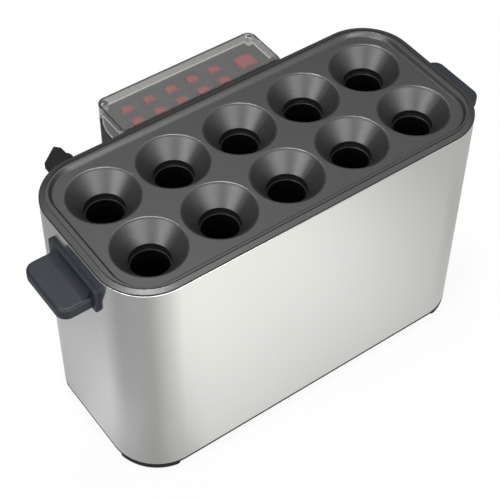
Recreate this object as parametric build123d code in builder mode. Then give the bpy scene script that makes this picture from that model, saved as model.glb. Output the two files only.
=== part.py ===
from build123d import *
from math import cos, radians, sin, tan
import os

os.makedirs("parts", exist_ok=True)

# Ten-hole egg sausage maker. Millimetres, +Z up, +X along the casing, +Y to the control box at the
# back. The origin is on the table, under the middle of the whole machine's bounding box.

# Hole grid: the metal left between the funnels, and from the outer funnels to the casing's walls
hole_columns = 5
hole_rows = 2
hole_land = 4.8
end_margin = 17.4
side_margin = 17.0

# Casing: one stainless sheet wrapped round, with flanges turned inwards at the top and bottom
shell_corner = 41.0
shell_height = 206.6
shell_sheet = 1.0
shell_edge_round = 1.4
top_flange = 4.8
bottom_flange = 10.0

# Base plate and feet
base_sheet = 2.2
foot_height = 3.4
foot_width = 12.0
foot_inset = 0.2
foot_margin_angle = 6.0
foot_end_round = 4.0
foot_peg_radius = 2.5
vent_length = 30.0
vent_width = 4.0
vent_row_distance = 9.0
vent_rows = 6
vent_group_distance = 90.0

# Cast tray: flat recessed floor with ten funnels, and a rim that covers the casing's top edge
tray_rise = 1.9
rim_gap = 0.5
shoulder_width = 4.2
shoulder_drop = 1.1
rim_edge_round = 0.5
crown_groove_width = 0.8
crown_groove_depth = 0.7
ledge_width = 3.0
end_ledge_width = 4.4
well_corner = 29.0
ledge_round = 0.8
floor_depth = 3.2
floor_draft = 2.0
floor_fillet = 1.0
tray_wall = 2.5
rod_boss_radius = 6.0
rod_boss_drop = 8.0

# Funnel, its neck, and the socket that takes the tube's upper end
funnel_radius = 27.6
neck_radius = 15.7
funnel_depth = 14.5
funnel_lip_round = 2.4
neck_depth = 3.2
socket_depth = 10.3
socket_wall = 2.4

# Cooking tube
tube_bore_radius = 14.6
tube_wall = 2.4
lead_in_depth = 3.1
tube_floor = 3.0
tube_floor_fillet = 3.0
spigot_radius = 6.0
spigot_length = 1.4
tube_fit = 0.1

# Band heater round each tube
heater_thickness = 3.0
heater_drop = 21.8
heater_rise = 16.0
heater_slot = 2.0
heater_lug_reach = 6.0
heater_lug_width = 9.0

# Rack that carries the tubes' lower ends
rack_height = 39.5
rack_sheet = 1.5
rack_end_gap = 17.0
rack_side_gap = 24.6
rack_toe = 14.0
rack_bend_round = 3.0

# Handles
handle_forward = 3.0
grip_reach = 28.5
grip_shoulder = 4.5
grip_thickness = 10.8
grip_corner = 9.0
grip_edge_round = 2.6
grip_drop = 23.0
web_round = 8.0
plate_thickness = 3.3
plate_side_gap = 1.6
plate_height = 22.6
plate_drop = 13.0
plate_corner = 3.0
plate_edge_round = 1.0

# Control box on the back wall: its switches set its width and reach
box_height = 72.0
box_wall = 3.5
box_corner = 7.0
box_edge_round = 2.0
box_boss_radius = 4.0
box_boss_height = 5.0
corner_post_length = 7.7
corner_post_width = 6.0
corner_post_height = 14.0

# Clear cover over the switches
cover_drop = 3.2
cover_wall = 1.8
cover_skirt = 12.0
cover_edge_round = 1.2
cover_front_gap = 3.6
cover_ear_round = 4.0
closing_gap = 0.2
tab_front = 7.5
tab_back_gap = 9.5
tab_drop = 10.0
tab_round = 8.0
tab_clearance = 1.5
tab_recess = 2.4
rest_post_radius = 3.0
rest_post_inset = 3.4
rest_gap = 0.15

# Cover hinge
hinge_back = 7.0
hinge_drop = 5.0
hinge_pin_radius = 1.3
hinge_pin_press = 0.02
hinge_pin_play = 0.08
hinge_lug_radius = 2.7
hinge_lug_thickness = 3.0
hinge_lug_inset = 0.4
hinge_head_radius = 2.2
hinge_head_height = 0.8
hinge_head_gap = 0.15

# Switch panel
panel_thickness = 3.2
panel_side_gap = 0.4
panel_front_gap = 0.3
panel_edge_round = 0.4

# Channel switches, two rows of five, and the main switch beside them
switch_columns = 5
switch_land = 5.1
switch_row_land = 4.9
switch_left_margin = 11.1
switch_front_margin = 5.95
switch_back_margin = 12.15
main_switch_land = 7.4
main_switch_margin = 10.5
rocker_tilt = 11.0
nose_angle = 30.0
rocker_side_gap = 0.3
rocker_end_gap = 0.75
rocker_skirt = 1.6
rocker_under_gap = 1.5
rocker_taper = 1.2
rocker_edge_round = 0.45
trunnion_length = 0.8
trunnion_play = 0.05
cutout_gap = 0.12
bezel_edge_round = 0.4
blade_thickness = 0.8

channel_bezel_length = 15.0
channel_bezel_width = 10.5
channel_bezel_height = 1.2
channel_body_length = 13.4
channel_body_width = 9.2
channel_body_depth = 14.0
channel_rocker_length = 10.4
channel_rocker_width = 6.6
channel_rocker_nose = 2.5
channel_rocker_rise = 2.95
channel_pivot_depth = 2.2
channel_trunnion = 0.9
channel_blade_width = 4.0
channel_blade_length = 7.0
channel_blade_distance = 6.4

main_bezel_length = 22.0
main_bezel_width = 16.8
main_bezel_height = 1.2
main_body_length = 20.4
main_body_width = 15.4
main_body_depth = 18.0
main_rocker_length = 17.5
main_rocker_width = 12.8
main_rocker_nose = 4.2
main_rocker_rise = 4.05
main_pivot_depth = 2.8
main_trunnion = 1.2
main_blade_width = 6.3
main_blade_length = 8.0
main_blade_distance = 9.0

# Cord outlet hood near the left end of the back wall, and its gland
hood_end_gap = 29.0
hood_width = 20.0
hood_front = 4.0
hood_side_reach = 13.0
hood_back_inset = 14.5
hood_back_reach = 24.5
hood_shoulder_inset = 18.6
hood_shoulder_reach = 20.0
hood_drop = 5.0
hood_thickness = 7.0
hood_height = 30.0
hood_edge_round = 1.3
hood_boss_wall = 1.9
hood_seat_gap = 0.1
hood_screw_inset = 14.5
hood_screw_drop = 3.5
passage_drop = 13.0
gland_inset = 15.0
gland_reach = 10.4
gland_radius = 5.6
gland_length = 12.0
gland_flange_radius = 7.0
gland_flange_height = 2.0
gland_bore_radius = 3.6

# Wiring
duct_radius = 7.0
duct_bore_radius = 4.4
duct_flange = 2.0
duct_flange_height = 1.5
duct_gap = 0.1
duct_drop = 38.0
loom_radius = 4.0
mains_radius = 3.0
lead_radius = 1.3
loom_wall_gap = 12.0
loom_rise = 8.0
thermal_radius = 8.0
thermal_height = 9.0
block_length = 46.0
block_width = 18.0
block_height = 14.0
block_ways = 4
block_way_distance = 11.0
block_way_radius = 2.2
block_way_depth = 6.0
earth_end_gap = 55.0
earth_wall_gap = 18.0
earth_radius = 2.0
earth_length = 12.0
earth_nut_height = 3.0

# Fasteners
screw_radius = 1.9
screw_head_radius = 3.4
screw_head_height = 1.9
thread_gap = 0.05
clearance_gap = 0.2
blind_gap = 0.5
handle_screw_inset = 8.0
handle_screw_drop = 28.5
handle_screw_length = 9.0
box_screw_side_inset = 18.2
box_screw_distance = 40.0
box_screw_rise = 32.0
box_screw_length = 8.0
base_screw_end_gap = 47.0
base_screw_inset = 6.0
base_screw_length = 6.0
panel_screw_radius = 1.25
panel_screw_head_radius = 2.3
panel_screw_head_height = 1.3
panel_screw_length = 10.0
panel_screw_side = 6.2
panel_screw_front = 4.3
panel_screw_back = 8.0
rod_radius = 2.0
rod_engagement = 6.0
rod_head_radius = 3.6

cut_overrun = 1.0
same_place = 0.01

# The funnels set the pitch of the holes, and the holes set the casing
hole_pitch = 2 * funnel_radius + hole_land
shell_length = (hole_columns - 1) * hole_pitch + 2 * (funnel_radius + end_margin)
shell_depth = (hole_rows - 1) * hole_pitch + 2 * (funnel_radius + side_margin)
crown_inset = rim_gap + shoulder_width
well_inset = crown_inset + ledge_width
well_end_inset = crown_inset + end_ledge_width
plate_width = shell_depth - 2 * (shell_corner + plate_side_gap)
grip_width = plate_width - 2 * grip_shoulder

# The switches set the control box
switch_distance = channel_bezel_length + switch_land
channel_group = (switch_columns - 1) * switch_distance + channel_bezel_length
box_width = switch_left_margin + channel_group + main_switch_land + main_bezel_length + main_switch_margin
switch_row_front = switch_front_margin + channel_bezel_width / 2
switch_row_back = switch_row_front + channel_bezel_width + switch_row_land
box_reach = switch_row_back + channel_bezel_width / 2 + switch_back_margin
box_loom_reach = (switch_row_front + switch_row_back) / 2

# Levels
base_top = foot_height + base_sheet
shell_top = base_top + shell_height
tray_crown = shell_top + tray_rise
tray_floor = tray_crown - floor_depth
tray_underside = tray_floor - tray_wall
neck_top = tray_floor - funnel_depth
socket_top = neck_top - neck_depth
tube_bottom = base_top + rack_height
heater_bottom = tube_bottom + heater_rise
heater_top = socket_top - socket_depth - heater_drop
cover_top = tray_crown - cover_drop
cover_bottom = cover_top - cover_skirt
hinge_level = cover_top - hinge_drop
box_top = cover_bottom - closing_gap
box_bottom = box_top - box_height
panel_top = box_top + panel_thickness
duct_level = box_top - duct_drop
loom_level = tube_bottom + loom_rise
grip_top = cover_top - grip_drop
plate_middle = cover_top - plate_drop - plate_height / 2
hood_top = cover_top - hood_drop
passage_level = hood_top - passage_drop

# Places across the depth: the box at the back moves the casing forward of the origin
body_y = -box_reach / 2
back_wall = body_y + shell_depth / 2
handle_y = body_y - handle_forward
loom_y = back_wall - loom_wall_gap
box_loom_y = back_wall + box_loom_reach
end_wall = shell_length / 2
box_side = box_width / 2
switch_first = -box_side + switch_left_margin + channel_bezel_length / 2
main_switch_x = box_side - main_switch_margin - main_bezel_length / 2
tab_back = box_reach - tab_back_gap
cover_inside = box_side - cover_wall
panel_side = cover_inside - panel_side_gap
panel_back = box_reach - cover_wall - panel_side_gap
panel_corner = box_corner - cover_wall - panel_side_gap
lug_outside = panel_side - hinge_lug_inset
hood_left = end_wall - hood_end_gap
gland_x = hood_left - gland_inset
rod_x = (hole_columns - 2) / 2 * hole_pitch
thermal_x = hole_pitch / 2
earth_x = end_wall - earth_end_gap

# Radii that follow from the bores and walls
tube_radius = tube_bore_radius + tube_wall
socket_radius = tube_radius + tube_fit
heater_radius = socket_radius + heater_thickness
cone_slope = (funnel_radius - neck_radius) / funnel_depth
cone_wall = tray_wall * (1 + cone_slope**2) ** 0.5

# Repeated places. Hole places start from the casing's middle, switch places from the back wall
hole_places = [
    ((column - (hole_columns - 1) / 2) * hole_pitch, (row - (hole_rows - 1) / 2) * hole_pitch)
    for row in range(hole_rows)
    for column in range(hole_columns)
]
switch_places = [
    (switch_first + column * switch_distance, reach)
    for reach in (switch_row_front, switch_row_back)
    for column in range(switch_columns)
]
main_switch_place = (main_switch_x, box_loom_reach)
handle_screw_places = [
    (handle_y + along * (grip_width / 2 - handle_screw_inset), cover_top - handle_screw_drop)
    for along in (-1, 1)
]
box_screw_places = [
    (across * (box_side - box_screw_side_inset),
     box_bottom + box_screw_rise + up * box_screw_distance / 2)
    for across in (-1, 1)
    for up in (-1, 1)
]
hood_screw_place = (hood_screw_inset - hood_left, hood_top - hood_screw_drop)
base_screw_places = [
    (across * (end_wall - base_screw_end_gap), body_y + along * (shell_depth / 2 - base_screw_inset))
    for across in (-1, 0, 1)
    for along in (-1, 1)
]
panel_screw_places = [
    (across * (panel_side - panel_screw_side), reach)
    for across in (-1, 1)
    for reach in (panel_screw_front, box_reach - panel_screw_back)
]
rod_places = [(-rod_x, body_y), (rod_x, body_y)]
earth_place = (earth_x, back_wall - earth_wall_gap)
foot_quarters = {"back_right": (1, 1), "back_left": (-1, 1), "front_left": (-1, -1), "front_right": (1, -1)}

from_base = (Align.CENTER, Align.CENTER, Align.MIN)
to_base = (Align.CENTER, Align.CENTER, Align.MAX)


def level(z):
    """Horizontal plane at height z, centred on the casing."""
    return Plane((0, body_y, z))


def behind(z):
    """Horizontal plane at height z, whose own Y is the distance behind the back wall."""
    return Plane((0, back_wall, z))


def upright(x, y, z):
    """Vertical plane through a point, with its own X along +X and its own Y up."""
    return Plane((x, y, z), x_dir=(1, 0, 0), z_dir=(0, -1, 0))


def side_on(x):
    """Plane facing +X, whose own X is the distance behind the back wall and own Y is height."""
    return Plane((x, back_wall, 0), x_dir=(0, 1, 0), z_dir=(1, 0, 0))


def casing_outline(inset, mode=Mode.ADD):
    """The casing's outline seen from above, moved in by a distance."""
    RectangleRounded(shell_length - 2 * inset, shell_depth - 2 * inset, shell_corner - inset, mode=mode)


def well_outline(inset):
    """The tray well's outline at the crown, moved in by a distance."""
    RectangleRounded(shell_length - 2 * (well_end_inset + inset), shell_depth - 2 * (well_inset + inset),
                     well_corner - inset)


def edges_at(piece, z):
    """Edges whose middle lies at height z."""
    return piece.edges().filter_by(lambda edge: abs(edge.center().Z - z) < same_place)


def bar(start, end, radius, mode=Mode.ADD):
    """Straight round run from one point to another: a wire, a rod or a bored hole."""
    run = Vector(*end) - Vector(*start)
    with Locations(Plane(start, z_dir=run)):
        Cylinder(radius, run.length, align=from_base, mode=mode)


def upright_bore(place, bottom, top, radius):
    """Vertical hole at a place on the base, with the overrun at both ends."""
    bar((*place, bottom - cut_overrun), (*place, top + cut_overrun), radius, Mode.SUBTRACT)


def wall_bore(place, front, back, radius):
    """Hole along Y at an (x, z) place, between two distances behind the back wall."""
    x, z = place
    bar((x, back_wall + front, z), (x, back_wall + back, z), radius, Mode.SUBTRACT)


def screw(seat, direction, length, radius, head_radius, head_height):
    """Screw whose head stands on the seat and whose shank runs along the direction."""
    with Locations(Plane(seat, z_dir=direction)):
        Cylinder(radius, length, align=from_base)
        Cylinder(head_radius, head_height, align=to_base)


def wire(points, radius):
    """Run of wire through points, with a round corner at each one between."""
    for start, end in zip(points, points[1:]):
        bar(start, end, radius)
    with Locations(*points[1:-1]):
        Sphere(radius)


def finish(piece, name):
    """Label a finished piece and write it out."""
    piece.part.label = name
    export_step(piece.part, f"parts/{name}.step")


# Casing
with BuildPart() as body_shell:
    with BuildSketch(level(base_top)):
        casing_outline(0)
    extrude(amount=shell_height)
    fillet(edges_at(body_shell, shell_top), shell_edge_round)
    with BuildSketch(level(base_top + shell_sheet)):
        casing_outline(shell_sheet)
    extrude(amount=shell_height - 2 * shell_sheet, mode=Mode.SUBTRACT)
    with BuildSketch(level(shell_top + cut_overrun)):
        casing_outline(top_flange)
    extrude(amount=-shell_sheet - 2 * cut_overrun, mode=Mode.SUBTRACT)
    with BuildSketch(level(base_top - cut_overrun)):
        casing_outline(bottom_flange)
    extrude(amount=shell_sheet + 2 * cut_overrun, mode=Mode.SUBTRACT)
    # Holes in the back wall: loom duct, mains passage and screws
    wall_bore((0, duct_level), -shell_sheet - cut_overrun, cut_overrun, duct_radius + duct_gap)
    wall_bore((-gland_x, passage_level), -shell_sheet - cut_overrun, cut_overrun, gland_bore_radius)
    for place in box_screw_places + [hood_screw_place]:
        wall_bore(place, -shell_sheet - cut_overrun, cut_overrun, screw_radius + clearance_gap)
    # Holes in the end walls for the handle screws, and in the bottom flange for the base screws
    for y, z in handle_screw_places:
        for side in (-1, 1):
            inside = (side * (end_wall - shell_sheet - cut_overrun), y, z)
            outside = (side * (end_wall + cut_overrun), y, z)
            bar(inside, outside, screw_radius + clearance_gap, Mode.SUBTRACT)
    for place in base_screw_places:
        upright_bore(place, base_top, base_top + shell_sheet, screw_radius + thread_gap)
finish(body_shell, "body_shell")

# Base plate: closes the casing from below, with vents under the heaters
with BuildPart() as base_plate:
    with BuildSketch(level(foot_height)):
        casing_outline(0)
        with GridLocations(vent_group_distance, vent_row_distance, 2, vent_rows):
            SlotOverall(vent_length, vent_width, mode=Mode.SUBTRACT)
    extrude(amount=base_sheet)
    for place in base_screw_places:
        upright_bore(place, foot_height, base_top, screw_radius + clearance_gap)
    for place in rod_places:
        upright_bore(place, foot_height, base_top, rod_radius + clearance_gap)
    upright_bore(earth_place, foot_height, base_top, earth_radius + thread_gap)
    peg_offset = (shell_corner - foot_inset - foot_width / 2) * cos(radians(45))
    for across, along in foot_quarters.values():
        peg_x = across * (end_wall - shell_corner + peg_offset)
        peg_y = body_y + along * (shell_depth / 2 - shell_corner + peg_offset)
        upright_bore((peg_x, peg_y), foot_height, base_top, foot_peg_radius + thread_gap)
finish(base_plate, "base_plate")

# Feet: low rubber strips that follow the casing's corners, each with a peg in the base plate
foot_outer = shell_corner - foot_inset
for turn, (corner, (across, along)) in enumerate(foot_quarters.items()):
    corner_x = across * (end_wall - shell_corner)
    corner_y = body_y + along * (shell_depth / 2 - shell_corner)
    with BuildPart() as foot:
        with BuildSketch(Plane((corner_x, corner_y, 0))) as strip:
            with BuildLine():
                start = turn * 90 + foot_margin_angle
                outer = CenterArc((0, 0), foot_outer, start, 90 - 2 * foot_margin_angle)
                inner = CenterArc((0, 0), foot_outer - foot_width, start, 90 - 2 * foot_margin_angle)
                Line(outer @ 0, inner @ 0)
                Line(outer @ 1, inner @ 1)
            make_face()
            fillet(strip.vertices(), foot_end_round)
        extrude(amount=foot_height)
        peg = (corner_x + across * peg_offset, corner_y + along * peg_offset)
        bar((*peg, foot_height), (*peg, base_top), foot_peg_radius)
    finish(foot, f"foot_{corner}")

# Cast tray
with BuildPart() as top_tray:
    with BuildSketch(level(shell_top)):
        casing_outline(rim_gap)
    extrude(amount=tray_rise - shoulder_drop)
    with BuildSketch(level(tray_crown - shoulder_drop)):
        casing_outline(rim_gap)
    with BuildSketch(level(tray_crown)):
        casing_outline(crown_inset)
    loft(ruled=True)
    # Pan under the rim, which drops through the casing's top flange
    with BuildSketch(level(tray_underside)):
        casing_outline(well_inset - tray_wall)
    extrude(amount=shell_top - tray_underside + tray_rise / 2)
    # Well in the top
    with BuildSketch(level(tray_floor)):
        well_outline(floor_draft)
    with BuildSketch(level(tray_crown)):
        well_outline(0)
    loft(ruled=True, mode=Mode.SUBTRACT)
    fillet(edges_at(top_tray, tray_floor), floor_fillet)
    fillet(top_tray.faces().sort_by(Axis.Z)[-1].inner_wires()[0].edges(), ledge_round)
    fillet(edges_at(top_tray, tray_crown - shoulder_drop), rim_edge_round)
    # Fine groove where the rim turns down from the crown
    with BuildSketch(level(tray_crown - crown_groove_depth)):
        casing_outline(crown_inset)
        casing_outline(crown_inset + crown_groove_width, Mode.SUBTRACT)
    extrude(amount=crown_groove_depth + cut_overrun, mode=Mode.SUBTRACT)
    # Outsides of the funnels, their collars and the bosses for the tie rods
    cone_height = funnel_depth - tray_wall / 2
    with Locations(level(neck_top)):
        with Locations(*hole_places):
            Cone(neck_radius + cone_wall, neck_radius + cone_wall + cone_slope * cone_height, cone_height,
                 align=from_base)
    with Locations(level(tray_underside)):
        with Locations(*hole_places):
            Cylinder(socket_radius + socket_wall, tray_underside - socket_top + socket_depth, align=to_base)
    for place in rod_places:
        boss_top = tray_underside + tray_wall / 2
        bar((*place, boss_top), (*place, tray_underside - rod_boss_drop), rod_boss_radius)
        bar((*place, tray_underside - rod_boss_drop - cut_overrun),
            (*place, tray_underside - rod_boss_drop + rod_engagement + blind_gap),
            rod_radius + thread_gap, Mode.SUBTRACT)
    # Insides of the funnels, necks and sockets
    with Locations(level(neck_top)):
        with Locations(*hole_places):
            Cone(neck_radius, funnel_radius + cone_slope * cut_overrun, funnel_depth + cut_overrun,
                 align=from_base, mode=Mode.SUBTRACT)
            Cylinder(neck_radius, neck_depth + cut_overrun, align=to_base, mode=Mode.SUBTRACT)
    with Locations(level(socket_top)):
        with Locations(*hole_places):
            Cylinder(socket_radius, socket_depth + cut_overrun, align=to_base, mode=Mode.SUBTRACT)
    lips = edges_at(top_tray, tray_floor).filter_by(lambda edge: edge.is_closed)
    fillet(lips, funnel_lip_round)
finish(top_tray, "top_tray")

# Cooking tubes, each with the band heater that clamps round it
for number, (hole_x, hole_y) in enumerate(hole_places, start=1):
    x = hole_x
    y = body_y + hole_y
    with BuildPart() as cook_tube:
        bar((x, y, tube_bottom), (x, y, socket_top), tube_radius)
        bar((x, y, tube_bottom + tube_floor), (x, y, socket_top + cut_overrun), tube_bore_radius,
            Mode.SUBTRACT)
        fillet(edges_at(cook_tube, tube_bottom + tube_floor), tube_floor_fillet)
        with Locations((x, y, socket_top)):
            Cone(tube_bore_radius, neck_radius, lead_in_depth, align=to_base, mode=Mode.SUBTRACT)
        bar((x, y, tube_bottom), (x, y, tube_bottom - spigot_length), spigot_radius)
    finish(cook_tube, f"cook_tube_{number}")

    with BuildPart() as heater_band:
        with BuildSketch(Plane((x, y, heater_bottom))):
            Circle(heater_radius)
            Rectangle(heater_radius + heater_lug_reach, heater_lug_width, align=(Align.MIN, Align.CENTER))
            Circle(socket_radius, mode=Mode.SUBTRACT)
            Rectangle(2 * heater_radius, heater_slot, align=(Align.MIN, Align.CENTER), mode=Mode.SUBTRACT)
        extrude(amount=heater_top - heater_bottom)
    finish(heater_band, f"heater_band_{number}")

# Rack under the tubes, folded down at both ends with the toes turned in
rack_end = end_wall - rack_end_gap
with BuildPart() as tube_rack:
    with BuildSketch(upright(0, body_y, base_top)) as fold:
        with BuildLine():
            Polyline(
                (-rack_end + rack_toe, 0),
                (-rack_end, 0),
                (-rack_end, rack_height),
                (rack_end, rack_height),
                (rack_end, 0),
                (rack_end - rack_toe, 0),
                (rack_end - rack_toe, rack_sheet),
                (rack_end - rack_sheet, rack_sheet),
                (rack_end - rack_sheet, rack_height - rack_sheet),
                (-rack_end + rack_sheet, rack_height - rack_sheet),
                (-rack_end + rack_sheet, rack_sheet),
                (-rack_end + rack_toe, rack_sheet),
                close=True,
            )
        make_face()
        outer_bends = fold.vertices().filter_by(lambda corner: abs(abs(corner.X) - rack_end) < same_place)
        fillet(outer_bends, rack_bend_round)
        inner_bends = fold.vertices().filter_by(
            lambda corner: abs(abs(corner.X) - rack_end + rack_sheet) < same_place
        )
        fillet(inner_bends, rack_bend_round - rack_sheet)
    extrude(amount=shell_depth / 2 - rack_side_gap, both=True)
    for x, y in hole_places:
        upright_bore((x, body_y + y), tube_bottom - rack_sheet, tube_bottom, spigot_radius + clearance_gap)
    for place in rod_places:
        upright_bore(place, tube_bottom - rack_sheet, tube_bottom, rod_radius + clearance_gap)
finish(tube_rack, "tube_rack")

# Tie rods: through the base plate and the rack into the tray's bosses
with BuildPart() as tie_rods:
    rod_length = tray_underside - rod_boss_drop + rod_engagement - foot_height
    for place in rod_places:
        screw((*place, foot_height), (0, 0, 1), rod_length, rod_radius, rod_head_radius, screw_head_height)
finish(tie_rods, "tie_rods")

# Handles: a grip that stands out from the end wall, and the plate round its root
with BuildPart() as handle_right:
    with BuildSketch(Plane((end_wall, handle_y, grip_top))) as grip:
        Rectangle(grip_reach, grip_width, align=(Align.MIN, Align.CENTER))
        fillet(grip.vertices().group_by(Axis.X)[-1], grip_corner)
    extrude(amount=-grip_thickness)
    for z in (grip_top, grip_top - grip_thickness):
        fillet(edges_at(handle_right, z).sort_by(Axis.X)[1:], grip_edge_round)
    with BuildSketch(Plane((end_wall, handle_y, plate_middle), x_dir=(0, 1, 0), z_dir=(1, 0, 0))):
        RectangleRounded(plate_width, plate_height, plate_corner)
    extrude(amount=plate_thickness)
    root = end_wall + plate_thickness
    plate_face = handle_right.faces().filter_by(lambda face: abs(face.center().X - root) < same_place)
    fillet(plate_face.sort_by(SortBy.AREA)[-1].outer_wire().edges(), plate_edge_round)
    # Concave web between the plate and the grip's top
    with BuildSketch(upright(root, handle_y, grip_top)):
        Rectangle(web_round, web_round, align=(Align.MIN, Align.MIN))
        with Locations((web_round, web_round)):
            Circle(web_round, mode=Mode.SUBTRACT)
    extrude(amount=grip_width / 2 - grip_edge_round, both=True)
    for y, z in handle_screw_places:
        hole_end = end_wall - shell_sheet + handle_screw_length + blind_gap
        bar((end_wall - cut_overrun, y, z), (hole_end, y, z), screw_radius + thread_gap, Mode.SUBTRACT)
finish(handle_right, "handle_right")

with BuildPart() as handle_left:
    mirror(handle_right.part, about=Plane.YZ)
finish(handle_left, "handle_left")

with BuildPart() as handle_screws:
    for y, z in handle_screw_places:
        for side in (-1, 1):
            screw((side * (end_wall - shell_sheet), y, z), (side, 0, 0), handle_screw_length,
                  screw_radius, screw_head_radius, screw_head_height)
finish(handle_screws, "handle_screws")

with BuildPart() as base_screws:
    for place in base_screw_places:
        screw((*place, foot_height), (0, 0, 1), base_screw_length,
              screw_radius, screw_head_radius, screw_head_height)
finish(base_screws, "base_screws")

# Control box: open at the top, screwed to the casing's back wall from inside
with BuildPart() as control_box:
    with BuildSketch(behind(box_bottom)) as outline:
        Rectangle(box_width, box_reach, align=(Align.CENTER, Align.MIN))
        fillet(outline.vertices().group_by(Axis.Y)[-1], box_corner)
    extrude(amount=box_height)
    fillet(edges_at(control_box, box_bottom).sort_by(Axis.Y)[1:], box_edge_round)
    with BuildSketch(behind(box_bottom + box_wall)) as hollow:
        with Locations((0, box_wall)):
            Rectangle(box_width - 2 * box_wall, box_reach - 2 * box_wall, align=(Align.CENTER, Align.MIN))
        fillet(hollow.vertices().group_by(Axis.Y)[-1], box_corner - box_wall)
    extrude(amount=box_height, mode=Mode.SUBTRACT)
    # Bosses on the front wall for the box screws, and posts in the corners for the panel screws
    for x, z in box_screw_places:
        bar((x, back_wall + box_wall / 2, z), (x, back_wall + box_wall + box_boss_height, z), box_boss_radius)
        wall_bore((x, z), -cut_overrun, box_screw_length - shell_sheet + blind_gap, screw_radius + thread_gap)
    post_x = box_side - box_wall - corner_post_length / 2
    with Locations(behind(box_top)):
        with Locations(*[(side * post_x, box_wall + corner_post_width / 2) for side in (-1, 1)]):
            Box(corner_post_length, corner_post_width, corner_post_height, align=to_base)
        with Locations(*[(side * post_x, box_reach - box_wall - corner_post_width / 2) for side in (-1, 1)]):
            Box(corner_post_length, corner_post_width, corner_post_height, align=to_base)
    pilot_depth = panel_screw_length - panel_thickness + blind_gap
    for x, reach in panel_screw_places:
        upright_bore((x, back_wall + reach), box_top - pilot_depth + cut_overrun, box_top,
                     panel_screw_radius + thread_gap)
    wall_bore((0, duct_level), -cut_overrun, box_wall + cut_overrun, duct_radius + duct_gap)
    # Recesses in the sides behind the cover's tabs
    recess_height = cover_skirt + tab_drop
    for side in (-1, 1):
        with BuildSketch(side_on(side * (box_side - tab_recess))) as recess:
            with Locations(((tab_front + tab_back) / 2, cover_bottom - tab_drop - tab_clearance)):
                Rectangle(tab_back - tab_front + 2 * tab_clearance, recess_height,
                          align=(Align.CENTER, Align.MIN))
            fillet(recess.vertices().group_by(Axis.Y)[0], tab_round + tab_clearance)
        extrude(amount=side * (tab_recess + cut_overrun), mode=Mode.SUBTRACT)
finish(control_box, "control_box")

# Box screws, with the hood's screw beside them
with BuildPart() as box_screws:
    for x, z in box_screw_places + [hood_screw_place]:
        screw((x, back_wall - shell_sheet, z), (0, 1, 0), box_screw_length,
              screw_radius, screw_head_radius, screw_head_height)
finish(box_screws, "box_screws")

# Bush that lines the loom's hole through the casing and the box
with BuildPart() as duct_bush:
    front = back_wall - shell_sheet
    back = back_wall + box_wall
    bar((0, front, duct_level), (0, back, duct_level), duct_radius)
    bar((0, front, duct_level), (0, front - duct_flange_height, duct_level), duct_radius + duct_flange)
    bar((0, back, duct_level), (0, back + duct_flange_height, duct_level), duct_radius + duct_flange)
    wall_bore((0, duct_level), -shell_sheet - duct_flange_height - cut_overrun,
              box_wall + duct_flange_height + cut_overrun, duct_bore_radius)
finish(duct_bush, "duct_bush")

# Terminal block on the box's floor
block_top = box_bottom + box_wall + block_height
block_way_places = [
    ((way - (block_ways - 1) / 2) * block_way_distance, box_loom_y) for way in range(block_ways)
]
with BuildPart() as terminal_block:
    with Locations((0, box_loom_y, box_bottom + box_wall)):
        Box(block_length, block_width, block_height, align=from_base)
    for place in block_way_places:
        upright_bore(place, block_top - block_way_depth + cut_overrun, block_top, block_way_radius)
finish(terminal_block, "terminal_block")

# Switch panel: lies on the box's top edge and carries the switches and the cover's hinge lugs
with BuildPart() as switch_panel:
    with BuildSketch(behind(box_top)) as outline:
        with Locations((0, panel_front_gap)):
            Rectangle(2 * panel_side, panel_back - panel_front_gap, align=(Align.CENTER, Align.MIN))
        fillet(outline.vertices().group_by(Axis.Y)[-1], panel_corner)
    extrude(amount=panel_thickness)
    fillet(edges_at(switch_panel, panel_top), panel_edge_round)
    with Locations(behind(box_top - cut_overrun)):
        with Locations(*switch_places):
            Box(channel_body_length + 2 * cutout_gap, channel_body_width + 2 * cutout_gap,
                panel_thickness + 2 * cut_overrun, align=from_base, mode=Mode.SUBTRACT)
        with Locations(main_switch_place):
            Box(main_body_length + 2 * cutout_gap, main_body_width + 2 * cutout_gap,
                panel_thickness + 2 * cut_overrun, align=from_base, mode=Mode.SUBTRACT)
    for side in (-1, 1):
        with BuildSketch(side_on(side * lug_outside)):
            with Locations((hinge_back, hinge_level)):
                Circle(hinge_lug_radius)
                Rectangle(2 * hinge_lug_radius, hinge_level - panel_top + panel_edge_round,
                          align=(Align.CENTER, Align.MAX))
                Circle(hinge_pin_radius + hinge_pin_press, mode=Mode.SUBTRACT)
        extrude(amount=-side * hinge_lug_thickness)
    with Locations(behind(panel_top)):
        with Locations(*panel_screw_places):
            Cylinder(panel_screw_radius + clearance_gap, 2 * panel_thickness + cut_overrun,
                     mode=Mode.SUBTRACT)
            Cone(panel_screw_radius + thread_gap, panel_screw_head_radius + thread_gap,
                 panel_screw_head_height + thread_gap, align=to_base, mode=Mode.SUBTRACT)
finish(switch_panel, "switch_panel")

with BuildPart() as panel_screws:
    with Locations(behind(panel_top)):
        with Locations(*panel_screw_places):
            Cylinder(panel_screw_radius, panel_screw_length, align=to_base)
            Cone(panel_screw_radius, panel_screw_head_radius, panel_screw_head_height, align=to_base)
finish(panel_screws, "panel_screws")


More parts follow.
